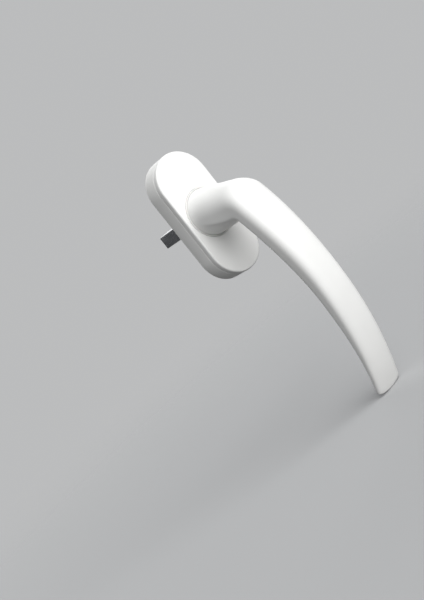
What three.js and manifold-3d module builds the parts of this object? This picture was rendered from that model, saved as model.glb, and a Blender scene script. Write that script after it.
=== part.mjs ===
// Window handle on a two-layer rosette, with a square spindle and a ball detent.
// Millimetres. The origin is the centre of the spindle's free end, +Z is up along the rosette,
// and the room is towards -Y. Every piece is drawn in the rosette's own frame, whose origin is
// where the spindle axis meets the wall. "Depth" is the distance from the wall, so y = -depth.

import * as THREE from 'three';
import { mergeVertices } from 'three/addons/utils/BufferGeometryUtils.js';
import Module from 'manifold-3d';

const wasm = await Module();
wasm.setup();

// ---------------------------------------------------------------- driving dimensions

const RAD = Math.PI / 180;
// Facet counts for round shapes, and how far a cutting tool runs past the solid it cuts.
const ROUND_SIDES = 48;
const PEG_SIDES = 40;
const BALL_SIDES = 32;
const PIN_SIDES = 24;
const SCREW_SIDES = 20;
const FINE_ARC = 20;
const PLAIN_ARC = 14;
const CORNER_ARC = 5;
const OVERRUN = 1;

const SPINDLE = { across: 7, chamfer: 0.8, innerDepth: 26, outerDepth: -32 };
const SOCKET = { play: 0.06, endDepth: 26.3 };
const PIN = { radius: 1, length: 15.4, depth: 7.3, play: 0.04 };

const BASE = { length: 70, width: 31.5, front: 8.7, bore: 10, edge: 0.5 };
const COVER = { back: 8.8, front: 12, wall: 1.4, rim: 1.5, edge: 0.8, hole: 13.25 };
const COVER_GUIDE = { wall: 0.8, back: 8.85, front: 11.5 };
const FIXING = { pitch: 43, hole: 2.7, sink: 5.1, sinkDepth: 2.6, peg: 5, pegDepth: -3, land: 5.5 };
const END_POCKET = { from: 27.4, margin: 2.6, roof: 5.9 };

const POCKET = { length: 33, width: 24.9, roof: 5.9 };
const HOUSING = { length: 32.6, width: 24.6, back: 1, front: 5.8, hole: 9.6 };
const PLATE = { length: 36, width: 25.6, corner: 3, back: 0.15, front: 0.85, hole: 5.6, pegGap: 0.7 };
const PLATE_SEAT = { play: 0.15, depth: 0.95 };
const PLATE_SCREW = { x: 10.3, z: 15.6, thread: 0.95, head: 1.75, headDepth: 0.55, tip: 5.6 };
const SCREW_SLOT = { width: 0.4, depth: 0.25, reach: 1.05 };
const SCREW_HOLE = { radius: 0.98, end: 5.9, plateRadius: 1.1, sinkRadius: 1.85, sinkDepth: 0.67 };

const SHANK = { radius: 8, end: 1.05, root: 11.45, flat: 6.6, flatFront: 4.55 };
const BUSH = { bore: 8.05, sleeve: 9.97, sleeveBack: 5.95, flangeBack: 8.75, flangeFront: 9.35 };
const BUSH_RIM = { inner: 12.53, outer: 13.15, front: 12.3 };
const THRUST = { inner: 8.15, outer: 9.05, back: 4.65, front: 5.8 };
const ROTOR = { outer: 9.2, back: 2.55, front: 4.5, play: 0.05, notchRadius: 1.95, notchCentre: 10.6 };
const WAVE = { inner: 8.15, outer: 9, back: 1.95, thick: 0.3, rise: 0.11, waves: 3, sides: 36 };
const RING = { inner: 7.45, outer: 9.1, back: 1.3, front: 1.75, gapAngle: 34 * RAD };
const RING_GROOVE = { radius: 7.3, back: 1.25, front: 1.8 };

const BALL = { radius: 1.8, centre: 11.05, depth: 3.52, play: 0.08, sectors: 16, rows: 10 };
const SPRING = { radius: 1.4, wire: 0.22, inner: 12.4, outer: 16.3, turns: 4.5 };
const SPRING_FACETS = { perTurn: 12, wireSides: 8 };

// The lever in side view is bounded by two rails, one facing the room and one facing the wall.
// A rail starts on the neck, runs straight, bends at the elbow, then follows the long bow.
// Heading 0 points into the room and 90 degrees points down.
const NECK_RADIUS = 12.45;
const NECK_BACK = 9.45;
const ROOM_RAIL = { heading: 14.5, straight: 26.3, elbow: 13.1, elbowTurn: 56, bow: 154, bowTurn: 44.6 };
const WALL_RAIL = { heading: -0.4, straight: 23, elbow: 2, elbowTurn: 70.3, bow: 150, bowTurn: 40 };
const RAIL_STEPS = { straight: 8, elbow: 9, bow: 16 };
// The wall half of each section is a rounded outline with its sides cut flat, and the room half
// rounds over from those flats. The rounded half width, the half width over the flats, the
// softness of the crease between them and the squareness of each half are given at the neck,
// elbow start, elbow end, middle and tip. Squareness 2 is an ellipse.
const ROUND_HALF_WIDTHS = [12.45, 12.6, 12.1, 9.9, 9.5];
const FLAT_HALF_WIDTHS = [12.45, 11.05, 11.15, 9.5, 9.1];
const CREASE_SOFTNESS = [0.05, 0.6, 0.7, 0.6, 0.6];
const ROOM_SQUARENESS = [2, 2.1, 2.5, 3, 2.6];
const WALL_SQUARENESS = [2, 2.25, 2.6, 3.5, 2.1];
const LEVER_SIDES = 48;
// The tip bows out across its width by the arc, and its end face by the crown.
const TIP = { chamfer: 0.9, arc: 1.2, crown: 0.3 };

// ---------------------------------------------------------------- solids and shapes

function solid(geometry) {
  const bare = geometry.clone();
  bare.deleteAttribute('normal');
  bare.deleteAttribute('uv');
  const merged = mergeVertices(bare, 1e-5);
  return new wasm.Manifold(new wasm.Mesh({
    numProp: 3,
    vertProperties: new Float32Array(merged.attributes.position.array),
    triVerts: new Uint32Array(merged.index.array),
  }));
}

function surface(body) {
  const mesh = body.getMesh();
  const geometry = new THREE.BufferGeometry();
  geometry.setAttribute('position', new THREE.BufferAttribute(mesh.vertProperties, 3));
  geometry.setIndex(new THREE.BufferAttribute(mesh.triVerts, 1));
  geometry.computeVertexNormals();
  return geometry;
}

function cut(body, ...tools) {
  return tools.reduce((left, tool) => left.subtract(tool), body);
}

function join(body, ...others) {
  return others.reduce((all, other) => all.add(other), body);
}

// A flat outline drawn in X and Z, thickened from one depth to another.
function slab(shape, backDepth, frontDepth, curveSegments = PLAIN_ARC) {
  const geometry = new THREE.ExtrudeGeometry(shape, {
    depth: frontDepth - backDepth,
    curveSegments,
    bevelEnabled: false,
  });
  return solid(geometry.rotateX(Math.PI / 2).translate(0, -backDepth, 0));
}

// The same, with only the room-side edge rounded off.
function slabWithSoftFront(shape, backDepth, frontDepth, bevel) {
  const geometry = new THREE.ExtrudeGeometry(shape, {
    depth: frontDepth - backDepth - bevel,
    curveSegments: FINE_ARC,
    bevelEnabled: true,
    bevelThickness: bevel,
    bevelSize: bevel,
    bevelOffset: -bevel,
    bevelSegments: 2,
  });
  const square = slab(shape, backDepth, frontDepth + bevel, FINE_ARC);
  const rounded = solid(geometry.rotateX(Math.PI / 2).translate(0, -backDepth, 0));
  const backLayer = slab(shape, backDepth, backDepth + 2 * bevel, FINE_ARC);
  return join(rounded, backLayer).intersect(square);
}

function stadium(length, width) {
  const radius = width / 2;
  const reach = length / 2 - radius;
  const shape = new THREE.Shape();
  shape.absarc(0, reach, radius, 0, Math.PI, false);
  shape.absarc(0, -reach, radius, Math.PI, 2 * Math.PI, false);
  shape.closePath();
  return shape;
}

function rectangle(length, width, corner) {
  const x = width / 2 - corner;
  const z = length / 2 - corner;
  const shape = new THREE.Shape();
  shape.absarc(x, z, corner, 0, Math.PI / 2, false);
  shape.absarc(-x, z, corner, Math.PI / 2, Math.PI, false);
  shape.absarc(-x, -z, corner, Math.PI, 1.5 * Math.PI, false);
  shape.absarc(x, -z, corner, 1.5 * Math.PI, 2 * Math.PI, false);
  shape.closePath();
  return shape;
}

// A solid of revolution about an axis through (x, z) that points into the room.
// The profile is a list of [radius, depth] pairs that closes on itself or on the axis.
function turned(profile, x = 0, z = 0, sides = ROUND_SIDES) {
  const points = profile.map(([radius, depth]) => new THREE.Vector2(radius, -depth)).reverse();
  const geometry = new THREE.LatheGeometry(points, sides);
  return solid(geometry.translate(x, 0, z));
}

function rod(radius, backDepth, frontDepth, x = 0, z = 0, sides = ROUND_SIDES) {
  const geometry = new THREE.CylinderGeometry(radius, radius, frontDepth - backDepth, sides);
  return solid(geometry.translate(x, -(backDepth + frontDepth) / 2, z));
}

function collar(inner, outer, backDepth, frontDepth) {
  return cut(rod(outer, backDepth, frontDepth), rod(inner, backDepth - OVERRUN, frontDepth + OVERRUN));
}

function block(sizeX, sizeY, sizeZ, x, y, z) {
  return solid(new THREE.BoxGeometry(sizeX, sizeY, sizeZ).translate(x, y, z));
}

// The smallest polygonal hole that clears a round shaft of the given radius.
function holeFor(radius, sides = ROUND_SIDES) {
  return radius / Math.cos(Math.PI / sides);
}

// ---------------------------------------------------------------- materials and nodes

const FINISHES = {
  whiteCoat: { color: 0xf2f2ef, roughness: 0.42, metalness: 0.0 },
  whitePlastic: { color: 0xe9e9e4, roughness: 0.5, metalness: 0.0 },
  zincPlate: { color: 0x9a9c9e, roughness: 0.35, metalness: 1.0 },
  springSteel: { color: 0x7d7f83, roughness: 0.3, metalness: 1.0 },
  nylon: { color: 0xd8d6cc, roughness: 0.6, metalness: 0.0 },
};

const handle = new THREE.Group();
const rosetteFrame = new THREE.Group();
rosetteFrame.position.y = SPINDLE.outerDepth;
handle.add(rosetteFrame);

function addNode(name, geometry, finish) {
  const mesh = new THREE.Mesh(geometry, new THREE.MeshStandardMaterial(FINISHES[finish]));
  mesh.name = name;
  rosetteFrame.add(mesh);
}

// ---------------------------------------------------------------- lever

// Points of one rail as [y, z], from the neck to the tip.
function railPoints(rail, startZ) {
  let heading = rail.heading * RAD;
  const points = [];
  const start = [-COVER.front, startZ];
  for (let i = 0; i <= RAIL_STEPS.straight; i += 1) {
    const run = (rail.straight * i) / RAIL_STEPS.straight;
    points.push([start[0] - run * Math.cos(heading), start[1] - run * Math.sin(heading)]);
  }
  const bends = [
    [rail.elbow, rail.elbowTurn, RAIL_STEPS.elbow],
    [rail.bow, rail.bowTurn, RAIL_STEPS.bow],
  ];
  for (const [radius, turnDegrees, steps] of bends) {
    const from = points[points.length - 1];
    for (let i = 1; i <= steps; i += 1) {
      const angle = heading + (turnDegrees * RAD * i) / steps;
      points.push([
        from[0] - radius * (Math.sin(angle) - Math.sin(heading)),
        from[1] + radius * (Math.cos(angle) - Math.cos(heading)),
      ]);
    }
    heading += turnDegrees * RAD;
  }
  return points;
}

// A value along the lever, eased between the five named stations.
function alongLever(values, rib) {
  const { straight, elbow, bow } = RAIL_STEPS;
  const stations = [0, straight, straight + elbow, straight + elbow + bow / 2, straight + elbow + bow];
  for (let i = 1; i < stations.length; i += 1) {
    if (rib <= stations[i]) {
      const share = (rib - stations[i - 1]) / (stations[i] - stations[i - 1]);
      const eased = share * share * (3 - 2 * share);
      return values[i - 1] + (values[i] - values[i - 1]) * eased;
    }
  }
  return values[values.length - 1];
}

// Ribs join the two rails: centre, half thickness and the measures of each section.
function leverRibs() {
  const roomSide = railPoints(ROOM_RAIL, NECK_RADIUS);
  const wallSide = railPoints(WALL_RAIL, -NECK_RADIUS);
  const ribs = roomSide.map((room, i) => ({
    centre: [(room[0] + wallSide[i][0]) / 2, (room[1] + wallSide[i][1]) / 2],
    half: [(room[0] - wallSide[i][0]) / 2, (room[1] - wallSide[i][1]) / 2],
    roundWidth: alongLever(ROUND_HALF_WIDTHS, i),
    flatWidth: alongLever(FLAT_HALF_WIDTHS, i),
    softness: alongLever(CREASE_SOFTNESS, i),
    roomSquareness: alongLever(ROOM_SQUARENESS, i),
    wallSquareness: alongLever(WALL_SQUARENESS, i),
    arc: [0, 0],
    crown: [0, 0],
  }));
  const neckFoot = { ...ribs[0], centre: [-NECK_BACK, 0] };
  const tip = ribs.pop();
  const before = ribs[ribs.length - 1];
  const step = [tip.centre[0] - before.centre[0], tip.centre[1] - before.centre[1]];
  const run = step.map((part) => part / Math.hypot(...step));
  const shrink = 1 - TIP.chamfer / Math.hypot(...tip.half);
  const tipEdge = { ...tip, arc: run.map((part) => part * TIP.arc) };
  const tipFace = {
    ...tipEdge,
    centre: [tip.centre[0] + run[0] * TIP.chamfer, tip.centre[1] + run[1] * TIP.chamfer],
    half: [tip.half[0] * shrink, tip.half[1] * shrink],
    roundWidth: tip.roundWidth - TIP.chamfer,
    flatWidth: tip.flatWidth - TIP.chamfer,
    crown: run.map((part) => part * TIP.crown),
  };
  return [neckFoot, ...ribs, tipEdge, tipFace];
}

// Holds a rounded side back to the flat, with a soft crease where the two meet.
function cutFlat(width, { flatWidth, softness }) {
  const past = width - flatWidth + softness;
  if (past <= 0) return width;
  if (past >= 2 * softness) return flatWidth;
  return width - past ** 2 / (4 * softness);
}

// A point of one rib's section: how far it lies across, and through towards the room rail.
function sectionPoint(rib, across, through) {
  if (through > 0) {
    const power = 2 / rib.roomSquareness;
    const widest = cutFlat(rib.roundWidth, rib);
    return [Math.sign(across) * Math.abs(across) ** power * widest, through ** power];
  }
  const power = 2 / rib.wallSquareness;
  const width = cutFlat(Math.abs(across) ** power * rib.roundWidth, rib);
  return [Math.sign(across) * width, -(Math.abs(through) ** power)];
}

function leverGrip() {
  const ribs = leverRibs();
  const steps = ribs.length - 1;
  const geometry = new THREE.CylinderGeometry(1, 1, 1, LEVER_SIDES, steps);
  const position = geometry.attributes.position;
  for (let i = 0; i < position.count; i += 1) {
    const across = position.getX(i);
    const through = position.getZ(i);
    const ribIndex = Math.round((0.5 - position.getY(i)) * steps);
    const rib = ribs[ribIndex];
    const [width, height] = sectionPoint(rib, across, through);
    const bow = 1 - (width / rib.flatWidth) ** 2;
    const crown = across === 0 && through === 0 ? 1 : 0;
    const [y, z] = [0, 1].map((k) => (
      rib.centre[k] + rib.half[k] * height + rib.arc[k] * bow + rib.crown[k] * crown
    ));
    position.setXYZ(i, width, y, z);
  }
  return solid(geometry);
}

function spindleSocket() {
  const side = SPINDLE.across + 2 * SOCKET.play;
  const from = SHANK.end - OVERRUN;
  return block(side, SOCKET.endDepth - from, side, 0, -(from + SOCKET.endDepth) / 2, 0);
}

function shankFlats() {
  const from = SHANK.end - OVERRUN;
  const size = 2 * (SHANK.radius + OVERRUN);
  return [1, -1].map((side) => block(
    size,
    SHANK.flatFront - from,
    size,
    side * (SHANK.flat + size / 2),
    -(from + SHANK.flatFront) / 2,
    0,
  ));
}

function pinBore() {
  const radius = holeFor(PIN.radius + PIN.play, PIN_SIDES);
  const bore = new THREE.CylinderGeometry(radius, radius, 2 * (SHANK.radius + OVERRUN), PIN_SIDES);
  return solid(bore.rotateZ(Math.PI / 2).translate(0, -PIN.depth, 0));
}

function ringGroove() {
  const { radius, back, front } = RING_GROOVE;
  return collar(radius, SHANK.radius + OVERRUN, back, front);
}

function lever() {
  const blank = join(leverGrip(), rod(SHANK.radius, SHANK.end, SHANK.root));
  return cut(blank, spindleSocket(), ...shankFlats(), pinBore(), ringGroove());
}

addNode('lever', surface(lever()), 'whiteCoat');

// ---------------------------------------------------------------- spindle and its pin

function spindle() {
  const half = SPINDLE.across / 2;
  const outline = new THREE.Shape();
  outline.moveTo(-half, -half);
  outline.lineTo(half, -half);
  outline.lineTo(half, half);
  outline.lineTo(-half, half);
  outline.closePath();
  const straight = slab(outline, SPINDLE.outerDepth + SPINDLE.chamfer, SPINDLE.innerDepth);
  const widest = half * Math.SQRT2;
  const narrowest = (half - SPINDLE.chamfer) * Math.SQRT2;
  const point = new THREE.CylinderGeometry(widest, narrowest, SPINDLE.chamfer, 4);
  point.rotateY(Math.PI / 4).rotateX(Math.PI);
  point.translate(0, -(SPINDLE.outerDepth + SPINDLE.chamfer / 2), 0);
  return cut(join(straight, solid(point)), pinBore());
}

function spindlePin() {
  const pin = new THREE.CylinderGeometry(PIN.radius, PIN.radius, PIN.length, PIN_SIDES);
  return pin.rotateZ(Math.PI / 2).translate(0, -PIN.depth, 0);
}

addNode('square_spindle', surface(spindle()), 'zincPlate');
addNode('spindle_pin', surface(solid(spindlePin())), 'springSteel');

// ---------------------------------------------------------------- rosette

function fixingHeights() {
  return [FIXING.pitch / 2, -FIXING.pitch / 2];
}

function fixingHole(z) {
  const from = FIXING.pegDepth - OVERRUN;
  const to = BASE.front + OVERRUN;
  return turned([
    [0, from],
    [FIXING.hole, from],
    [FIXING.hole, BASE.front - FIXING.sinkDepth],
    [FIXING.sink, BASE.front],
    [FIXING.sink, to],
    [0, to],
  ], 0, z, PEG_SIDES);
}

function endPocket(side) {
  const inset = stadium(BASE.length - 2 * END_POCKET.margin, BASE.width - 2 * END_POCKET.margin);
  const inner = slab(inset, -OVERRUN, END_POCKET.roof);
  const far = BASE.length / 2;
  const middle = (side * (END_POCKET.from + far)) / 2;
  return inner.intersect(block(BASE.width, 2 * BASE.front, far - END_POCKET.from, 0, 0, middle));
}

function plateOutline(grow) {
  return rectangle(PLATE.length + 2 * grow, PLATE.width + 2 * grow, PLATE.corner + grow);
}

function plateScrewPlaces() {
  return [
    [-PLATE_SCREW.x, PLATE_SCREW.z],
    [PLATE_SCREW.x, PLATE_SCREW.z],
    [PLATE_SCREW.x, -PLATE_SCREW.z],
    [-PLATE_SCREW.x, -PLATE_SCREW.z],
  ];
}

function rosetteBase() {
  const body = slabWithSoftFront(stadium(BASE.length, BASE.width), 0, BASE.front, BASE.edge);
  const pegs = fixingHeights().map((z) => (
    rod(FIXING.peg, FIXING.pegDepth, PLATE_SEAT.depth + OVERRUN, 0, z, PEG_SIDES)
  ));
  const lands = fixingHeights().map((z) => (
    rod(FIXING.land, FIXING.pegDepth, BASE.front, 0, z, PEG_SIDES)
  ));
  const plateSeat = cut(
    slab(plateOutline(PLATE_SEAT.play), -OVERRUN, PLATE_SEAT.depth, CORNER_ARC),
    ...lands,
  );
  const screwHoles = plateScrewPlaces().map(([x, z]) => (
    rod(holeFor(SCREW_HOLE.radius, SCREW_SIDES), -OVERRUN, SCREW_HOLE.end, x, z, SCREW_SIDES)
  ));
  return cut(
    join(cut(body, plateSeat), ...pegs),
    slab(stadium(POCKET.length, POCKET.width), -OVERRUN, POCKET.roof),
    rod(holeFor(BASE.bore), -OVERRUN, BASE.front + OVERRUN),
    ...fixingHeights().map(fixingHole),
    ...[1, -1].map(endPocket),
    ...screwHoles,
  );
}

function rosetteCover() {
  const shell = slabWithSoftFront(stadium(BASE.length, BASE.width), COVER.back, COVER.front, COVER.edge);
  const hollow = stadium(BASE.length - 2 * COVER.rim, BASE.width - 2 * COVER.rim);
  const inside = slab(hollow, COVER.back - OVERRUN, COVER.front - COVER.wall);
  const guide = rod(COVER.hole + COVER_GUIDE.wall, COVER_GUIDE.back, COVER_GUIDE.front);
  const opening = rod(holeFor(COVER.hole), COVER.back - OVERRUN, COVER.front + OVERRUN);
  return cut(join(cut(shell, inside), guide), opening);
}

addNode('rosette_base', surface(rosetteBase()), 'whiteCoat');
addNode('rosette_cover', surface(rosetteCover()), 'whiteCoat');

// ---------------------------------------------------------------- bearing parts

function neckBush() {
  const bore = holeFor(BUSH.bore);
  const rimBore = holeFor(BUSH_RIM.inner);
  return turned([
    [bore, BUSH.sleeveBack],
    [BUSH.sleeve, BUSH.sleeveBack],
    [BUSH.sleeve, BUSH.flangeBack],
    [BUSH_RIM.outer, BUSH.flangeBack],
    [BUSH_RIM.outer, BUSH_RIM.front],
    [rimBore, BUSH_RIM.front],
    [rimBore, BUSH.flangeFront],
    [bore, BUSH.flangeFront],
    [bore, BUSH.sleeveBack],
  ]);
}

addNode('neck_bush', surface(neckBush()), 'whitePlastic');
addNode('thrust_washer', surface(collar(THRUST.inner, THRUST.outer, THRUST.back, THRUST.front)), 'nylon');

// A sprung washer: a thin ring that rises and falls as it goes round.
function waveWasher() {
  const ring = new THREE.LatheGeometry([
    new THREE.Vector2(WAVE.inner, 0),
    new THREE.Vector2(WAVE.outer, 0),
    new THREE.Vector2(WAVE.outer, WAVE.thick),
    new THREE.Vector2(WAVE.inner, WAVE.thick),
    new THREE.Vector2(WAVE.inner, 0),
  ], WAVE.sides);
  const position = ring.attributes.position;
  for (let i = 0; i < position.count; i += 1) {
    const angle = Math.atan2(position.getX(i), position.getZ(i));
    const rise = WAVE.rise * (1 + Math.sin(WAVE.waves * angle));
    position.setY(i, position.getY(i) - WAVE.back - WAVE.thick - rise);
  }
  return solid(ring);
}

function retainingRing() {
  const ring = collar(RING.inner, RING.outer, RING.back, RING.front);
  const reach = 2 * RING.outer;
  const wedge = new THREE.Shape();
  wedge.moveTo(0, 0);
  wedge.lineTo(reach, -reach * Math.tan(RING.gapAngle / 2));
  wedge.lineTo(reach, reach * Math.tan(RING.gapAngle / 2));
  wedge.closePath();
  return cut(ring, slab(wedge, RING.back - OVERRUN, RING.front + OVERRUN));
}

addNode('wave_washer', surface(waveWasher()), 'springSteel');
addNode('retaining_ring', surface(retainingRing()), 'springSteel');

// ---------------------------------------------------------------- detent

function detentRotor() {
  const from = ROTOR.back - OVERRUN;
  const to = ROTOR.front + OVERRUN;
  const disc = rod(ROTOR.outer, ROTOR.back, ROTOR.front);
  const shankHole = rod(holeFor(SHANK.radius + ROTOR.play), from, to);
  const acrossFlats = 2 * (SHANK.flat + ROTOR.play);
  const flatHole = block(acrossFlats, to - from, 2 * ROTOR.outer, 0, -(from + to) / 2, 0);
  const notches = [0, 90, 180, 270].map((degrees) => rod(
    ROTOR.notchRadius,
    from,
    to,
    ROTOR.notchCentre * Math.sin(degrees * RAD),
    ROTOR.notchCentre * Math.cos(degrees * RAD),
    PIN_SIDES,
  ));
  return cut(disc, shankHole.intersect(flatHole), ...notches);
}

function ballBore() {
  const radius = holeFor(BALL.radius + BALL.play, BALL_SIDES);
  const length = HOUSING.length + 2 * OVERRUN;
  const bore = new THREE.CylinderGeometry(radius, radius, length, BALL_SIDES);
  return solid(bore.rotateX(Math.PI / 2).translate(0, -BALL.depth, 0));
}

function detentHousing() {
  const body = slab(stadium(HOUSING.length, HOUSING.width), HOUSING.back, HOUSING.front);
  return cut(body, rod(HOUSING.hole, HOUSING.back - OVERRUN, HOUSING.front + OVERRUN), ballBore());
}

function detentBall(side) {
  const ball = new THREE.SphereGeometry(BALL.radius, BALL.sectors, BALL.rows);
  return ball.translate(0, -BALL.depth, side * BALL.centre);
}

class Coil extends THREE.Curve {
  getPoint(t, target = new THREE.Vector3()) {
    const angle = 2 * Math.PI * SPRING.turns * t;
    const rise = SPRING.inner + SPRING.wire + t * (SPRING.outer - SPRING.inner - 2 * SPRING.wire);
    return target.set(SPRING.radius * Math.cos(angle), SPRING.radius * Math.sin(angle), rise);
  }
}

function detentSpring(side) {
  const wire = new THREE.Shape().absarc(0, 0, SPRING.wire, 0, 2 * Math.PI, false);
  const spring = new THREE.ExtrudeGeometry(wire, {
    steps: SPRING_FACETS.perTurn * SPRING.turns,
    curveSegments: SPRING_FACETS.wireSides / 2,
    bevelEnabled: false,
    extrudePath: new Coil(),
  });
  if (side < 0) spring.rotateX(Math.PI);
  return spring.translate(0, -BALL.depth, 0);
}

addNode('detent_housing', surface(detentHousing()), 'nylon');
addNode('detent_rotor', surface(detentRotor()), 'zincPlate');
[['upper', 1], ['lower', -1]].forEach(([place, side]) => {
  addNode(`detent_ball_${place}`, surface(solid(detentBall(side))), 'springSteel');
  addNode(`detent_spring_${place}`, surface(solid(detentSpring(side))), 'springSteel');
});

// ---------------------------------------------------------------- back plate and its screws

function backPlate() {
  const from = PLATE.back - OVERRUN;
  const to = PLATE.front + OVERRUN;
  const pegRoom = fixingHeights().map((z) => (
    rod(FIXING.peg + PLATE.pegGap, from, to, 0, z, PEG_SIDES)
  ));
  const screwRoom = plateScrewPlaces().map(([x, z]) => turned([
    [0, from],
    [SCREW_HOLE.sinkRadius, from],
    [SCREW_HOLE.sinkRadius, PLATE.back],
    [SCREW_HOLE.plateRadius, SCREW_HOLE.sinkDepth],
    [SCREW_HOLE.plateRadius, to],
    [0, to],
  ], x, z, SCREW_SIDES));
  return cut(
    slab(plateOutline(0), PLATE.back, PLATE.front, CORNER_ARC),
    rod(PLATE.hole, from, to),
    ...pegRoom,
    ...screwRoom,
  );
}

function plateScrew([x, z]) {
  const { head, thread, headDepth, tip } = PLATE_SCREW;
  const body = turned([
    [0, PLATE.back],
    [head, PLATE.back],
    [thread, headDepth],
    [thread, tip - thread],
    [0, tip],
  ], x, z, SCREW_SIDES);
  const { width, depth, reach } = SCREW_SLOT;
  const slots = [[2 * reach, width], [width, 2 * reach]].map(([sizeX, sizeZ]) => (
    block(sizeX, 2 * depth, sizeZ, x, -PLATE.back, z)
  ));
  return cut(body, ...slots);
}

addNode('back_plate', surface(backPlate()), 'zincPlate');
plateScrewPlaces().forEach((place, i) => {
  addNode(`plate_screw_${i + 1}`, surface(plateScrew(place)), 'zincPlate');
});

export default handle;
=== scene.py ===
import math

import bmesh
import bpy
from mathutils import Matrix, Vector


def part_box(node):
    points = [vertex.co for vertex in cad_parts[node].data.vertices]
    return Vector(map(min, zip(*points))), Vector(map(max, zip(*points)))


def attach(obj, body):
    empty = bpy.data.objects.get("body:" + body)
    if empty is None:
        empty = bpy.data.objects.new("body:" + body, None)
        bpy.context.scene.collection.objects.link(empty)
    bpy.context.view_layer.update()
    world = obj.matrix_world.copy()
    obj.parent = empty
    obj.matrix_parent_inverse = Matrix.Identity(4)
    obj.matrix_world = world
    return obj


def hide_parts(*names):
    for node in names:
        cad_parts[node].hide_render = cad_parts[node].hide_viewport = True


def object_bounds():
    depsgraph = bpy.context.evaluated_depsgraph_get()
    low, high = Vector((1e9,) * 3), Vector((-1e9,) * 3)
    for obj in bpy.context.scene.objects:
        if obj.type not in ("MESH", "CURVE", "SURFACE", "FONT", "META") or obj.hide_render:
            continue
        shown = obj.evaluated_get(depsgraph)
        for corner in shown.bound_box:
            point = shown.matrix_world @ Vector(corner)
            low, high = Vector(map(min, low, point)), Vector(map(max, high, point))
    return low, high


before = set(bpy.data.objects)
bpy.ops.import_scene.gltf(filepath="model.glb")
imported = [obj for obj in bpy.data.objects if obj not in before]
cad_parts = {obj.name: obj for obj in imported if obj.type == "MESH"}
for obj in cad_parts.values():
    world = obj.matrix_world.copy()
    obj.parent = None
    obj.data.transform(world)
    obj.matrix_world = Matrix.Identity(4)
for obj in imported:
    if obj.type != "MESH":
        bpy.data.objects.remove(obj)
cad_low, cad_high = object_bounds()

# ------------------------------------------------------------------ sizes

# Lengths in this section are millimetres. "Depth" is the distance from the wall into the room,
# so y = wall - depth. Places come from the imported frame, in metres.
MM = 0.001
base_low, base_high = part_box("rosette_base")
cover_low, cover_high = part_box("rosette_cover")
bush_low, bush_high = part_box("neck_bush")
spindle_low, spindle_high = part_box("square_spindle")

PEG_REACH = 3.0
WALL_Y = base_high.y - PEG_REACH * MM
ROSETTE_LENGTH = (base_high.z - base_low.z) / MM
ROSETTE_WIDTH = (base_high.x - base_low.x) / MM
BASE_FRONT = (WALL_Y - base_low.y) / MM
COVER_BACK = (WALL_Y - cover_high.y) / MM
COVER_FRONT = (WALL_Y - cover_low.y) / MM
BUSH_FRONT = (WALL_Y - bush_low.y) / MM
BUSH_RADIUS = (bush_high.x - bush_low.x) / 2 / MM

# Points of one piece that lie closer than this, in metres, are the same point.
MERGE = 0.000001

# How far a cutting tool runs past the piece it cuts.
OVERRUN = 1
# Points round a circle and round a stadium, and the share of them on each straight side.
ROUND_POINTS = 96
OUTLINE_POINTS = 160
SIDE_SHARE = 0.16

COVER_EDGE = 0.9
COVER_WALL = 1.4
COVER_RIM = 1.5
COVER_HOLE = 13.25
COVER_HOLE_EDGE = 0.35
COVER_BACK_EDGE = 0.18
GUIDE_WALL = 0.8
GUIDE_GAP = 0.05

# Lever, in side view, between a rail on the room side and a rail on the wall side.
NECK_RADIUS = 12.45
NECK_BACK = 9.45
ROOM_RAIL = dict(heading=14.5, straight=26.3, elbow=13.1, elbow_turn=56, bow=154, bow_turn=44.6)
WALL_RAIL = dict(heading=-0.4, straight=23, elbow=2, elbow_turn=70.3, bow=150, bow_turn=40)
RAIL_STEPS = dict(straight=40, elbow=36, bow=90)
# Measures of the section at the neck, elbow start, elbow end, middle and tip.
ROUND_HALF_WIDTHS = (12.45, 12.6, 12.1, 9.9, 9.5)
FLAT_HALF_WIDTHS = (12.45, 11.05, 11.15, 9.5, 9.1)
CREASE_SOFTNESS = (0.05, 0.6, 0.7, 0.6, 0.6)
ROOM_SQUARENESS = (2, 2.1, 2.5, 3, 2.6)
WALL_SQUARENESS = (2, 2.25, 2.6, 3.5, 2.1)
LEVER_SIDES = 160
TIP_EDGE = 0.9
TIP_ARC = 1.0
TIP_CROWN = 0.1

TIP_EDGE_STEPS = 6
TIP_FACE_STEPS = 12

SHANK_RADIUS = 8.0
SHANK_END = 1.05
SHANK_CHAMFER = 0.3
SHANK_ROOT = 2
SHANK_FLAT = 6.6
SHANK_FLAT_FRONT = 4.55
FLAT_TOOL = 8
GROOVE_RADIUS = 7.3
GROOVE_BACK = 1.25
GROOVE_FRONT = 1.8
SOCKET_SIDE = 7.12
SOCKET_END = 26.3
PIN_HOLE_RADIUS = 1.04
PIN_DEPTH = 7.3
THROUGH = 20

BASE_BACK_EDGE = 0.3
BASE_FRONT_EDGE = 0.5
BORE_RADIUS = 10.0
FIXING_PITCH = 43
FIXING_HEIGHTS = (FIXING_PITCH / 2, -FIXING_PITCH / 2)
PEG_RADIUS = 5.0
PEG_ROOT = 4
PEG_LAND = 5.5
SCREW_RADIUS = 2.7
SINK_RADIUS = 5.1
SINK_DEPTH = 2.6
SINK_POINTS = 48
SEAT_WIDTH = 25.9
SEAT_LENGTH = 36.3
SEAT_DEPTH = 0.95
POCKET_LENGTH = 33
POCKET_WIDTH = 24.9
POCKET_ROOF = 5.9
END_POCKET_MARGIN = 2.6
END_POCKET_FROM = 27.4
END_POCKET_KEEP = 10

BUSH_BORE = 8.06
BUSH_SLEEVE = 9.97
BUSH_SHOULDER = 8.75
BUSH_FLOOR = 9.35
BUSH_RIM_BORE = 12.58
BUSH_EDGE = 0.1
BUSH_POINTS = 144

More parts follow.
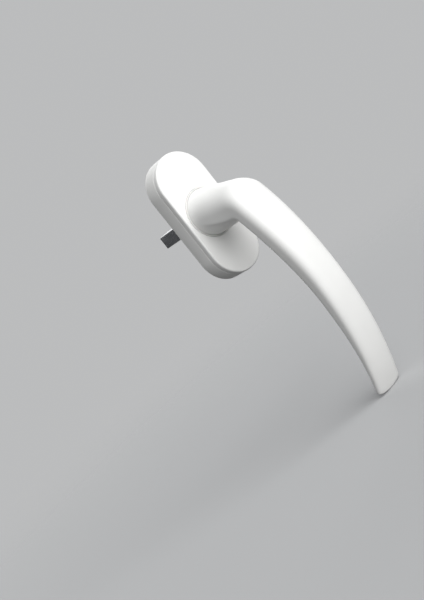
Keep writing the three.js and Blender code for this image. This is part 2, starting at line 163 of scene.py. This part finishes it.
# Sections near each end of the spindle: drawn in by, corner radius, distance from that end.
SPINDLE_FREE_END = ((0.8, 0.25, 0), (0.72, 0.3, 0.06), (0.06, 0.35, 0.77), (0, 0.35, 0.95))
SPINDLE_INNER_END = ((0, 0.35, 0.3), (0.3, 0.2, 0))

# ------------------------------------------------------------------ mesh helpers


def place(x, depth, z):
    """A point given in millimetres and depth, in the row frame in metres."""
    return Vector((x * MM, WALL_Y - depth * MM, z * MM))


def stadium_ring(length, width, inset, depth, count):
    """Points round a stadium outline, drawn in by inset, at one depth."""
    radius = width / 2
    reach = length / 2 - radius
    radius -= inset
    side_points = round(count * SIDE_SHARE)
    arc_points = count // 2 - side_points
    ring = []
    for end in (1, -1):
        for i in range(arc_points):
            angle = math.pi * (i + 0.5) / arc_points
            x = end * radius * math.cos(angle)
            z = end * (reach + radius * math.sin(angle))
            ring.append(place(x, depth, z))
        for i in range(side_points):
            z = end * reach * (1 - 2 * (i + 0.5) / side_points)
            ring.append(place(-end * radius, depth, z))
    return ring


def circle_ring(radius, depth, count=ROUND_POINTS, like=None):
    """Points round a circle. With like, each point faces the same way as that ring's point."""
    ring = []
    for i in range(count):
        angle = 2 * math.pi * i / count
        if like is not None:
            angle = math.atan2(like[i].z, like[i].x)
        ring.append(place(radius * math.cos(angle), depth, radius * math.sin(angle)))
    return ring


def rounded(radius_x, radius_y, steps=5):
    """Quarter round from (0, radius_y) to (radius_x, 0), as offsets."""
    return [
        (radius_x * math.sin(math.pi / 2 * i / steps), radius_y * math.cos(math.pi / 2 * i / steps))
        for i in range(steps + 1)
    ]


def skin(name, rings, closed=False):
    """A quad surface through rings of equal length, closed on itself or capped at its ends."""
    mesh = bpy.data.meshes.new(name)
    work = bmesh.new()
    rows = [[work.verts.new(p) for p in ring] for ring in rings]
    count = len(rows[0])
    pairs = list(zip(rows, rows[1:]))
    if closed:
        pairs.append((rows[-1], rows[0]))
    for low, high in pairs:
        for i in range(count):
            j = (i + 1) % count
            work.faces.new((low[i], low[j], high[j], high[i]))
    if not closed:
        work.faces.new(list(reversed(rows[0])))
        work.faces.new(rows[-1])
    bmesh.ops.recalc_face_normals(work, faces=work.faces)
    work.to_mesh(mesh)
    work.free()
    piece = bpy.data.objects.new(name, mesh)
    bpy.context.scene.collection.objects.link(piece)
    return piece


def lathe(name, profile, count=ROUND_POINTS, closed=True, z=0):
    """A solid turned about an axis into the room at height z.

    The profile is a list of (radius, depth). It closes on itself or ends in flat caps.
    """
    lift = Vector((0, 0, z * MM))
    rings = [[p + lift for p in circle_ring(radius, depth, count)] for radius, depth in profile]
    return skin(name, rings, closed)


def rod(name, radius, back, front, count=64, z=0):
    """A round bar that points into the room."""
    return lathe(name, [(radius, back), (radius, front)], count, closed=False, z=z)


def block(name, size_x, back, front, size_z, x=0, z=0):
    """A square-edged block between two depths, centred on (x, z)."""
    corners = [(-1, -1), (1, -1), (1, 1), (-1, 1)]
    rings = [
        [place(x + sx * size_x / 2, depth, z + sz * size_z / 2) for sx, sz in corners]
        for depth in (back, front)
    ]
    return skin(name, rings)


def cross_rod(name, radius, depth, length, count=32):
    """A round bar along X."""
    rings = []
    for x in (-length / 2, length / 2):
        ring = []
        for i in range(count):
            angle = 2 * math.pi * i / count
            ring.append(place(x, depth + radius * math.cos(angle), radius * math.sin(angle)))
        rings.append(ring)
    return skin(name, rings)


def apply_modifiers(piece):
    """Turns the piece's modifiers into plain mesh."""
    bpy.context.view_layer.update()
    graph = bpy.context.evaluated_depsgraph_get()
    made = bpy.data.meshes.new_from_object(piece.evaluated_get(graph))
    piece.modifiers.clear()
    old = piece.data
    piece.data = made
    bpy.data.meshes.remove(old)


def combine(piece, tool, operation):
    """Joins or cuts piece with tool, and removes the tool."""
    modifier = piece.modifiers.new("combine", "BOOLEAN")
    modifier.operation = operation
    modifier.solver = "EXACT"
    modifier.object = tool
    apply_modifiers(piece)
    bpy.data.objects.remove(tool)
    return piece


def clean(piece):
    """Merges doubled points and dissolves the faces without area that cuts leave behind."""
    work = bmesh.new()
    work.from_mesh(piece.data)
    bmesh.ops.remove_doubles(work, verts=work.verts, dist=MERGE)
    many_sided = [face for face in work.faces if len(face.verts) > 4]
    bmesh.ops.triangulate(work, faces=many_sided)
    bmesh.ops.dissolve_degenerate(work, edges=work.edges, dist=MERGE)
    work.to_mesh(piece.data)
    work.free()


def soften(piece, sharp_degrees):
    """Smooth shading that breaks only at real edges."""
    piece.data.polygons.foreach_set("use_smooth", [True] * len(piece.data.polygons))
    piece.data.set_sharp_from_angle(angle=math.radians(sharp_degrees))


def finish_piece(piece, body, slot_name, material, *nodes):
    """Gives the piece its material and body, and hides the nodes that it stands in for."""
    piece.data.materials.clear()
    piece.data.materials.append(material)
    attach(piece, body)
    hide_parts(*nodes)


# ------------------------------------------------------------------ materials


class Nodes:
    """A small helper for writing node materials, and the world's nodes."""

    def __init__(self, name, world=None):
        self.material = world or bpy.data.materials.new(name)
        self.material.use_nodes = True
        self.tree = self.material.node_tree
        self.shader = self.tree.nodes.get("Principled BSDF")

    def add(self, kind, **values):
        node = self.tree.nodes.new(kind)
        for key, value in values.items():
            if key in node.inputs:
                node.inputs[key].default_value = value
            else:
                setattr(node, key, value)
        return node

    def link(self, source, target):
        self.tree.links.new(source, target)

    def object_coords(self):
        return self.add("ShaderNodeTexCoord").outputs["Object"]

    def noise(self, coords, scale, detail=3.0, roughness=0.55):
        node = self.add("ShaderNodeTexNoise", Scale=scale, Detail=detail, Roughness=roughness)
        self.link(coords, node.inputs["Vector"])
        return node.outputs["Fac"]

    def ramp(self, value, stops):
        node = self.add("ShaderNodeValToRGB")
        elements = node.color_ramp.elements
        while len(elements) < len(stops):
            elements.new(0.5)
        for element, (at, colour) in zip(elements, stops):
            element.position = at
            element.color = (*colour, 1.0)
        self.link(value, node.inputs["Fac"])
        return node.outputs["Color"]

    def mix(self, share, start, end):
        """Blends between two colours, each given as numbers or as a socket."""
        node = self.add("ShaderNodeMix", data_type="RGBA")
        self.link(share, node.inputs[0])
        colours = [socket for socket in node.inputs if socket.type == "RGBA"]
        for socket, colour in zip(colours, (start, end)):
            if isinstance(colour, tuple):
                socket.default_value = (*colour, 1.0)
            else:
                self.link(colour, socket)
        return [socket for socket in node.outputs if socket.type == "RGBA"][0]

    def spread(self, value, low, high):
        node = self.add("ShaderNodeMapRange")
        node.inputs["To Min"].default_value = low
        node.inputs["To Max"].default_value = high
        self.link(value, node.inputs["Value"])
        return node.outputs["Result"]

    def bump(self, height, strength, distance, normal=None):
        node = self.add("ShaderNodeBump", Strength=strength, Distance=distance)
        self.link(height, node.inputs["Height"])
        if normal is not None:
            self.link(normal, node.inputs["Normal"])
        return node.outputs["Normal"]


def powder_coat(name, colour, roughness=0.38):
    """White powder coat: a satin film with fine orange peel and a trace of uneven gloss."""
    n = Nodes(name)
    coords = n.object_coords()
    cloud = n.noise(coords, 60, 2)
    shade = tuple(c * 0.975 for c in colour)
    n.link(n.ramp(cloud, [(0.35, shade), (0.65, colour)]), n.shader.inputs["Base Color"])
    n.link(n.spread(n.noise(coords, 420, 3), roughness - 0.06, roughness + 0.08),
           n.shader.inputs["Roughness"])
    peel = n.bump(n.noise(coords, 1100, 2), 0.10, 0.00012)
    grain = n.bump(n.noise(coords, 3600, 1), 0.06, 0.00004, peel)
    n.link(grain, n.shader.inputs["Normal"])
    n.shader.inputs["Coat Weight"].default_value = 0.12
    n.shader.inputs["Coat Roughness"].default_value = 0.22
    n.shader.inputs["Specular IOR Level"].default_value = 0.5
    return n.material


def moulded_plastic(name, colour, roughness=0.5):
    """Plastic with a faint grain and a little light scattered under its skin."""
    n = Nodes(name)
    coords = n.object_coords()
    shade = tuple(c * 0.95 for c in colour)
    n.link(n.ramp(n.noise(coords, 140, 3), [(0.35, shade), (0.7, colour)]),
           n.shader.inputs["Base Color"])
    n.link(n.spread(n.noise(coords, 700, 2), roughness - 0.08, roughness + 0.1),
           n.shader.inputs["Roughness"])
    n.link(n.bump(n.noise(coords, 2200, 2), 0.12, 0.00006), n.shader.inputs["Normal"])
    n.shader.inputs["Subsurface Weight"].default_value = 0.05
    n.shader.inputs["Subsurface Scale"].default_value = 0.001
    return n.material


def drawn_steel(name, colour, roughness, stretch):
    """Drawn or turned steel with fine lines; stretch is the noise scale along each axis."""
    n = Nodes(name)
    mapping = n.add("ShaderNodeMapping")
    mapping.inputs["Scale"].default_value = stretch
    coords = n.object_coords()
    n.link(coords, mapping.inputs["Vector"])
    lines = n.noise(mapping.outputs["Vector"], 1.0, 4, 0.7)
    dark = tuple(c * 0.82 for c in colour)
    n.link(n.ramp(n.noise(coords, 240, 3), [(0.3, dark), (0.7, colour)]),
           n.shader.inputs["Base Color"])
    n.shader.inputs["Metallic"].default_value = 1.0
    n.link(n.spread(lines, roughness - 0.07, roughness + 0.12), n.shader.inputs["Roughness"])
    n.link(n.bump(lines, 0.18, 0.00004), n.shader.inputs["Normal"])
    return n.material


WHITE = (0.86, 0.86, 0.845)
white_coat = powder_coat("white_powder_coat", WHITE)
base_coat = powder_coat("white_powder_coat_base", (0.84, 0.84, 0.825), 0.42)
white_plastic = moulded_plastic("white_bush_plastic", (0.80, 0.80, 0.775))
nylon = moulded_plastic("natural_nylon", (0.74, 0.72, 0.64), 0.55)
zinc_steel = drawn_steel("zinc_plated_steel", (0.58, 0.59, 0.61), 0.26, (2500, 120, 2500))
spring_steel = drawn_steel("spring_steel", (0.40, 0.41, 0.43), 0.3, (1500, 1500, 1500))
screw_steel = drawn_steel("blackened_screw_steel", (0.22, 0.225, 0.235), 0.34, (900, 900, 900))

# ------------------------------------------------------------------ lever


def rail_points(rail, start_z):
    """Points [y, z] of one rail from the neck to the tip, in millimetres, y towards the wall."""
    heading = math.radians(rail["heading"])
    steps = RAIL_STEPS["straight"]
    points = []
    for i in range(steps + 1):
        run = rail["straight"] * i / steps
        points.append((-COVER_FRONT - run * math.cos(heading), start_z - run * math.sin(heading)))
    for part in ("elbow", "bow"):
        radius, turn = rail[part], math.radians(rail[part + "_turn"])
        from_y, from_z = points[-1]
        for i in range(1, RAIL_STEPS[part] + 1):
            angle = heading + turn * i / RAIL_STEPS[part]
            points.append((
                from_y - radius * (math.sin(angle) - math.sin(heading)),
                from_z + radius * (math.cos(angle) - math.cos(heading)),
            ))
        heading += turn
    return points


def along_lever(values, rib):
    """A value eased between the neck, the elbow's start and end, the middle and the tip."""
    straight, elbow, bow = RAIL_STEPS["straight"], RAIL_STEPS["elbow"], RAIL_STEPS["bow"]
    stations = (0, straight, straight + elbow, straight + elbow + bow / 2, straight + elbow + bow)
    for i in range(1, len(stations)):
        if rib <= stations[i]:
            share = (rib - stations[i - 1]) / (stations[i] - stations[i - 1])
            eased = share * share * (3 - 2 * share)
            return values[i - 1] + (values[i] - values[i - 1]) * eased
    return values[-1]


def cut_flat(width, flat_width, softness):
    """Holds a rounded side back to the flat, with a soft crease where the two meet."""
    past = width - flat_width + softness
    if past <= 0:
        return width
    if past >= 2 * softness:
        return flat_width
    return width - past ** 2 / (4 * softness)


def section_ring(rib, share=1.0, inset=0.0, shift=(0.0, 0.0), arc=(0.0, 0.0)):
    """One section of the lever, drawn in by inset, scaled by share, moved by shift.

    The arc is the extra move of the middle over the two sides.
    """
    ring = []
    keep = share * (1 - inset / math.hypot(*rib["half"]))
    round_width = rib["round_width"] - inset
    flat_width = rib["flat_width"] - inset
    widest = cut_flat(round_width, flat_width, rib["softness"])
    for i in range(LEVER_SIDES):
        angle = 2 * math.pi * i / LEVER_SIDES
        if math.cos(angle) > 0:
            power = 2 / rib["room_squareness"]
            width = abs(math.sin(angle)) ** power * widest
        else:
            power = 2 / rib["wall_squareness"]
            width = cut_flat(abs(math.sin(angle)) ** power * round_width, flat_width, rib["softness"])
        across = math.copysign(width, math.sin(angle)) * share
        through = math.copysign(abs(math.cos(angle)) ** power, math.cos(angle)) * keep
        bow = 1 - (across / flat_width) ** 2
        y = rib["centre"][0] + rib["half"][0] * through + shift[0] + arc[0] * bow
        z = rib["centre"][1] + rib["half"][1] * through + shift[1] + arc[1] * bow
        ring.append(place(across, -y, z))
    return ring


def lever_rings():
    """All sections of the lever, from inside the bush to the middle of the tip's face."""
    room = rail_points(ROOM_RAIL, NECK_RADIUS)
    wall = rail_points(WALL_RAIL, -NECK_RADIUS)
    ribs = []
    for i, (a, b) in enumerate(zip(room, wall)):
        centre = ((a[0] + b[0]) / 2, (a[1] + b[1]) / 2)
        half = ((a[0] - b[0]) / 2, (a[1] - b[1]) / 2)
        ribs.append(dict(
            centre=centre,
            half=half,
            round_width=along_lever(ROUND_HALF_WIDTHS, i),
            flat_width=along_lever(FLAT_HALF_WIDTHS, i),
            softness=along_lever(CREASE_SOFTNESS, i),
            room_squareness=along_lever(ROOM_SQUARENESS, i),
            wall_squareness=along_lever(WALL_SQUARENESS, i),
        ))
    rings = [section_ring(dict(ribs[0], centre=(-NECK_BACK, 0)))]
    rings += [section_ring(rib) for rib in ribs[:-1]]
    rings += tip_rings(ribs[-1], ribs[-2])
    return rings


def tip_rings(tip, before):
    """Rounds the tip's edge, then closes it with a shallow crown."""
    run = Vector((
        tip["centre"][0] - before["centre"][0], tip["centre"][1] - before["centre"][1])).normalized()
    arc = run * TIP_ARC
    rings = []
    for ahead, out in rounded(TIP_EDGE, TIP_EDGE, TIP_EDGE_STEPS):
        rings.append(section_ring(tip, 1.0, TIP_EDGE - out, run * ahead, arc))
    for i in range(1, TIP_FACE_STEPS):
        share = 1 - i / TIP_FACE_STEPS
        ahead = TIP_EDGE + TIP_CROWN * (1 - share * share)
        rings.append(section_ring(tip, share, TIP_EDGE, run * ahead, arc))
    return rings


def pin_hole():
    """The cross bore through the shank and the spindle."""
    return cross_rod("pin_hole", PIN_HOLE_RADIUS, PIN_DEPTH, THROUGH)


def build_lever():
    """The grip and neck, with the shank that runs in the bush and the socket for the spindle."""
    lever = skin("lever_grip", lever_rings())
    shank = lathe("shank", [
        (SHANK_RADIUS - SHANK_CHAMFER, SHANK_END),
        (SHANK_RADIUS, SHANK_END + SHANK_CHAMFER / 2),
        (SHANK_RADIUS, GROOVE_BACK),
        (GROOVE_RADIUS, GROOVE_BACK),
        (GROOVE_RADIUS, GROOVE_FRONT),
        (SHANK_RADIUS, GROOVE_FRONT),
        (SHANK_RADIUS, NECK_BACK + SHANK_ROOT),
    ], closed=False)
    combine(lever, shank, "UNION")
    combine(lever, block("socket", SOCKET_SIDE, 0, SOCKET_END, SOCKET_SIDE), "DIFFERENCE")
    for side in (1, -1):
        x = side * (SHANK_FLAT + FLAT_TOOL / 2)
        combine(lever, block("flat", FLAT_TOOL, 0, SHANK_FLAT_FRONT, THROUGH, x=x), "DIFFERENCE")
    combine(lever, pin_hole(), "DIFFERENCE")
    clean(lever)
    soften(lever, 30)
    finish_piece(lever, "lever_assembly", "white_coat", white_coat, "lever")


build_lever()

# ------------------------------------------------------------------ rosette cover


def build_cover():
    """The face and side of the cover, then its hollow back and the guide round the hole."""
    size = (ROSETTE_LENGTH, ROSETTE_WIDTH)
    outline = stadium_ring(*size, 0, 0, OUTLINE_POINTS)

    def outer(inset, depth):
        return stadium_ring(*size, inset, depth, OUTLINE_POINTS)

    def hole(radius, depth):
        return circle_ring(radius, depth, OUTLINE_POINTS, like=outline)

    lip = COVER_HOLE_EDGE
    rings = [
        hole(COVER_HOLE + lip - out, COVER_FRONT - lip + back) for out, back in rounded(lip, lip)]
    rings.reverse()
    for share in (0.25, 0.5, 0.75):
        edge = outer(COVER_EDGE, COVER_FRONT)
        inner = hole(COVER_HOLE + lip, COVER_FRONT)
        rings.append([a.lerp(b, share) for a, b in zip(inner, edge)])
    for out, front in rounded(COVER_EDGE, COVER_EDGE, 7):
        rings.append(outer(COVER_EDGE - out, COVER_FRONT - COVER_EDGE + front))
    for out, front in rounded(COVER_BACK_EDGE, COVER_BACK_EDGE, 3):
        rings.append(outer(COVER_BACK_EDGE - front, COVER_BACK + COVER_BACK_EDGE - out))
    ceiling = COVER_FRONT - COVER_WALL
    rings.append(outer(COVER_RIM, COVER_BACK))
    rings.append(outer(COVER_RIM, ceiling))
    rings.append(hole(COVER_HOLE + GUIDE_WALL, ceiling))
    rings.append(hole(COVER_HOLE + GUIDE_WALL, COVER_BACK + GUIDE_GAP))
    rings.append(hole(COVER_HOLE, COVER_BACK + GUIDE_GAP))
    cover = skin("rosette_cover_fine", rings, closed=True)
    soften(cover, 30)
    finish_piece(cover, "cover", "white_coat", white_coat, "rosette_cover")


build_cover()

# ------------------------------------------------------------------ rosette base


def base_blank():
    """The base's outline with both its edges rounded."""
    size = (ROSETTE_LENGTH, ROSETTE_WIDTH)
    rings = []
    for out, back in rounded(BASE_BACK_EDGE, BASE_BACK_EDGE, 4):
        rings.append(stadium_ring(*size, BASE_BACK_EDGE - out, BASE_BACK_EDGE - back, OUTLINE_POINTS))
    for out, front in rounded(BASE_FRONT_EDGE, BASE_FRONT_EDGE, 5):
        depth = BASE_FRONT - BASE_FRONT_EDGE + out
        rings.append(stadium_ring(*size, BASE_FRONT_EDGE - front, depth, OUTLINE_POINTS))
    return skin("rosette_base_fine", rings)


def plate_seat():
    """The shallow seat of the back plate, which goes round the pegs."""
    seat = block("plate_seat", SEAT_WIDTH, -OVERRUN, SEAT_DEPTH, SEAT_LENGTH)
    for z in FIXING_HEIGHTS:
        combine(seat, rod("peg_room", PEG_LAND, -2 * OVERRUN, 2 * OVERRUN, z=z), "DIFFERENCE")
    return seat


def end_pocket(side):
    """The hollow behind one rounded end of the base."""
    room = skin("end_pocket", [
        stadium_ring(ROSETTE_LENGTH, ROSETTE_WIDTH, END_POCKET_MARGIN, depth, OUTLINE_POINTS)
        for depth in (-OVERRUN, POCKET_ROOF)
    ])
    z = side * (END_POCKET_FROM + END_POCKET_KEEP / 2)
    keep = block("keep", 2 * THROUGH, -2 * OVERRUN, POCKET_ROOF + OVERRUN, END_POCKET_KEEP, z=z)
    return combine(room, keep, "INTERSECT")


def build_base():
    """The blank with its pegs, less the plate seat, the pockets, the bore and the screw holes."""
    base = base_blank()
    combine(base, plate_seat(), "DIFFERENCE")
    for z in FIXING_HEIGHTS:
        combine(base, rod("peg", PEG_RADIUS, -PEG_REACH, PEG_ROOT, z=z), "UNION")
    pocket = skin("pocket", [
        stadium_ring(POCKET_LENGTH, POCKET_WIDTH, 0, depth, ROUND_POINTS)
        for depth in (-OVERRUN, POCKET_ROOF)
    ])
    combine(base, pocket, "DIFFERENCE")
    combine(base, rod("bore", BORE_RADIUS, -OVERRUN, THROUGH / 2, ROUND_POINTS), "DIFFERENCE")
    for side in (1, -1):
        combine(base, end_pocket(side), "DIFFERENCE")
    for z in FIXING_HEIGHTS:
        sink = lathe("screw_hole", [
            (SCREW_RADIUS, -PEG_REACH - OVERRUN),
            (SCREW_RADIUS, BASE_FRONT - SINK_DEPTH),
            (SINK_RADIUS, BASE_FRONT),
            (SINK_RADIUS, BASE_FRONT + OVERRUN),
        ], SINK_POINTS, closed=False, z=z)
        combine(base, sink, "DIFFERENCE")
    clean(base)
    soften(base, 30)
    finish_piece(base, "base_assembly", "white_coat_base", base_coat, "rosette_base")


build_base()

# ------------------------------------------------------------------ neck bush


def build_bush():
    """A sleeve in the base's bore, a floor under the cover and a thin rim round the neck."""
    back = (WALL_Y - bush_high.y) / MM
    profile = [
        (BUSH_BORE, back),
        (BUSH_SLEEVE, back),
        (BUSH_SLEEVE, BUSH_SHOULDER),
        (BUSH_RADIUS - BUSH_EDGE, BUSH_SHOULDER),
        (BUSH_RADIUS, BUSH_SHOULDER + BUSH_EDGE),
        (BUSH_RADIUS, BUSH_FRONT - 2 * BUSH_EDGE),
        (BUSH_RADIUS - 0.6 * BUSH_EDGE, BUSH_FRONT - 0.6 * BUSH_EDGE),
        (BUSH_RADIUS - 2 * BUSH_EDGE, BUSH_FRONT),
        (BUSH_RIM_BORE + BUSH_EDGE, BUSH_FRONT),
        (BUSH_RIM_BORE, BUSH_FRONT - BUSH_EDGE),
        (BUSH_RIM_BORE, BUSH_FLOOR),
        (BUSH_BORE, BUSH_FLOOR),
    ]
    bush = lathe("neck_bush_fine", profile, BUSH_POINTS)
    soften(bush, 40)
    finish_piece(bush, "base_assembly", "white_plastic", white_plastic, "neck_bush")


build_bush()

# ------------------------------------------------------------------ spindle


def square_ring(half, corner, y, steps=4):
    """Points round a square with rounded corners."""
    ring = []
    for quarter in range(4):
        for i in range(steps + 1):
            angle = math.pi / 2 * (quarter + i / steps)
            cx = (half - corner) * (1 if quarter in (0, 3) else -1)
            cz = (half - corner) * (1 if quarter in (0, 1) else -1)
            x = (cx + corner * math.cos(angle)) * MM
            z = (cz + corner * math.sin(angle)) * MM
            ring.append(Vector((x, y, z)))
    return ring


def build_spindle():
    """A square bar, chamfered at its free end, with the cross bore at its other end."""
    half = (spindle_high.x - spindle_low.x) / 2 / MM
    rings = [
        square_ring(half - inset, corner, spindle_high.y - run * MM)
        for inset, corner, run in SPINDLE_FREE_END
    ]
    rings += [
        square_ring(half - inset, corner, spindle_low.y + run * MM)
        for inset, corner, run in SPINDLE_INNER_END
    ]
    spindle = skin("square_spindle_fine", rings)
    combine(spindle, pin_hole(), "DIFFERENCE")
    clean(spindle)
    soften(spindle, 25)
    finish_piece(
        spindle, "lever_assembly", "zinc_plated_steel", zinc_steel, "square_spindle")


build_spindle()

# ------------------------------------------------------------------ hidden hardware

CAD_FINISH = {
    "spindle_pin": spring_steel,
    "detent_rotor": zinc_steel,
    "wave_washer": spring_steel,
    "retaining_ring": spring_steel,
    "thrust_washer": nylon,
    "detent_housing": nylon,
    "detent_spring_upper": spring_steel,
    "detent_spring_lower": spring_steel,
    "detent_ball_upper": spring_steel,
    "detent_ball_lower": spring_steel,
    "back_plate": zinc_steel,
    "plate_screw_1": screw_steel,
    "plate_screw_2": screw_steel,
    "plate_screw_3": screw_steel,
    "plate_screw_4": screw_steel,
}
BEVELS = {"detent_rotor": 0.08, "back_plate": 0.08, "detent_housing": 0.15, "retaining_ring": 0.05}
for node_name, material in CAD_FINISH.items():
    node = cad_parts[node_name]
    node.data.materials.clear()
    node.data.materials.append(material)
    if node_name in BEVELS:
        bevel = node.modifiers.new("soft_edges", "BEVEL")
        bevel.width = BEVELS[node_name] * MM
        bevel.segments = 2
        bevel.limit_method = "ANGLE"
        bevel.angle_limit = math.radians(40)
        bevel.harden_normals = True

# ------------------------------------------------------------------ stage, light and camera

FLOOR_RADIUS = 1.2
FLOOR_GAP = 0.0002
# The floor is solid up to the first distance from its centre and gone at the second.
FLOOR_FADE = (0.12, 0.55)
FLOOR_GREY = (0.455, 0.46, 0.465)
FLOOR_BOUNCE = (0.12, 0.12, 0.12)
BACKGROUND = (0.50, 0.505, 0.51)
# Fill light from the side the key comes from, and from the opposite side.
FILL_HIGH = (0.47, 0.475, 0.48)
FILL_LOW = (0.08, 0.082, 0.085)
FILL_FROM = (0.0, -0.78, 0.63)
# Each light's direction, strength and width in degrees.
SUNS = {
    "key": ((0.04, -0.84, 0.54), 3.0, 75),
    "back_fill": ((0.50, 0.84, 0.20), 1.3, 70),
}
# The camera's azimuth, elevation and roll in degrees, where it looks and how far away it is in
# metres, and its lens in millimetres.
CAMERA_ANGLES = (-34.95, 6.67, 38.65)
CAMERA_AIM = (-0.0178, WALL_Y + 0.0084, -0.0362)
CAMERA_DISTANCE = 0.505
CAMERA_LENS = 60.0


def build_floor():
    """A pale disc under the lowest point, which fades into the background at its rim."""
    count = 128
    mesh = bpy.data.meshes.new("floor")
    work = bmesh.new()
    centre = Vector((0, (cad_low.y + cad_high.y) / 2, cad_low.z - FLOOR_GAP))
    verts = []
    for i in range(count):
        angle = 2 * math.pi * i / count
        rim = Vector((FLOOR_RADIUS * math.cos(angle), FLOOR_RADIUS * math.sin(angle), 0))
        verts.append(work.verts.new(centre + rim))
    work.faces.new(verts)
    work.to_mesh(mesh)
    work.free()
    floor = bpy.data.objects.new("floor", mesh)
    bpy.context.scene.collection.objects.link(floor)
    n = Nodes("pale_floor")
    coords = n.object_coords()
    paler = tuple(c * 1.02 for c in FLOOR_GREY)
    pale = n.ramp(n.noise(coords, 3, 2), [(0.3, FLOOR_GREY), (0.7, paler)])
    seen = n.add("ShaderNodeLightPath").outputs["Is Camera Ray"]
    n.link(n.mix(seen, FLOOR_BOUNCE, pale), n.shader.inputs["Base Color"])
    n.shader.inputs["Roughness"].default_value = 0.9
    n.shader.inputs["Specular IOR Level"].default_value = 0.1
    away = n.add("ShaderNodeVectorMath", operation="DISTANCE")
    away.inputs[1].default_value = centre
    n.link(coords, away.inputs[0])
    fade = n.add("ShaderNodeMapRange", interpolation_type="SMOOTHSTEP")
    fade.inputs["From Min"].default_value = FLOOR_FADE[0]
    fade.inputs["From Max"].default_value = FLOOR_FADE[1]
    fade.inputs["To Min"].default_value = 1.0
    fade.inputs["To Max"].default_value = 0.0
    n.link(away.outputs["Value"], fade.inputs["Value"])
    n.link(fade.outputs["Result"], n.shader.inputs["Alpha"])
    floor.data.materials.append(n.material)


def build_world():
    """An even backdrop for the camera, and a fill light that fades from one side to the other."""
    world = bpy.data.worlds.new("studio")
    world.use_nodes = True
    n = Nodes("fill_light", world)
    facing = n.add("ShaderNodeVectorMath", operation="DOT_PRODUCT")
    facing.inputs[1].default_value = FILL_FROM
    n.link(n.add("ShaderNodeTexCoord").outputs["Generated"], facing.inputs[0])
    share = n.add("ShaderNodeMapRange", interpolation_type="SMOOTHSTEP")
    share.inputs["From Min"].default_value = -1.0
    n.link(facing.outputs["Value"], share.inputs["Value"])
    fill = n.mix(share.outputs["Result"], FILL_LOW, FILL_HIGH)
    seen = n.add("ShaderNodeLightPath").outputs["Is Camera Ray"]
    n.link(n.mix(seen, fill, BACKGROUND), n.tree.nodes["Background"].inputs["Color"])
    bpy.context.scene.world = world
    bpy.context.scene.view_settings.view_transform = "Standard"


def soft_sun(name, direction, strength, angle_degrees):
    """A wide, even light that comes from the given direction."""
    lamp = bpy.data.lights.new(name, "SUN")
    lamp.energy = strength
    lamp.angle = math.radians(angle_degrees)
    light = bpy.data.objects.new(name, lamp)
    light.rotation_mode = "QUATERNION"
    light.rotation_quaternion = Vector(direction).normalized().to_track_quat("Z", "Y")
    bpy.context.scene.collection.objects.link(light)


def build_camera():
    """The photograph's view: left of the front, a little above, and rolled."""
    azimuth, elevation, roll = (math.radians(angle) for angle in CAMERA_ANGLES)
    back = Vector((
        math.sin(azimuth) * math.cos(elevation),
        -math.cos(azimuth) * math.cos(elevation),
        math.sin(elevation),
    ))
    data = bpy.data.cameras.new("photo_view")
    data.sensor_fit = "AUTO"
    data.sensor_width = 36.0
    data.lens = CAMERA_LENS
    camera = bpy.data.objects.new("photo_view", data)
    camera.rotation_mode = "QUATERNION"
    turn = back.to_track_quat("Z", "Y").to_matrix() @ Matrix.Rotation(-roll, 3, "Z")
    camera.rotation_quaternion = turn.to_quaternion()
    camera.location = Vector(CAMERA_AIM) + back * CAMERA_DISTANCE
    data.clip_start, data.clip_end = 0.01, 20
    bpy.context.scene.collection.objects.link(camera)
    bpy.context.scene.camera = camera


build_floor()
build_world()
for sun_name, (direction, strength, width) in SUNS.items():
    soft_sun(sun_name, direction, strength, width)
build_camera()
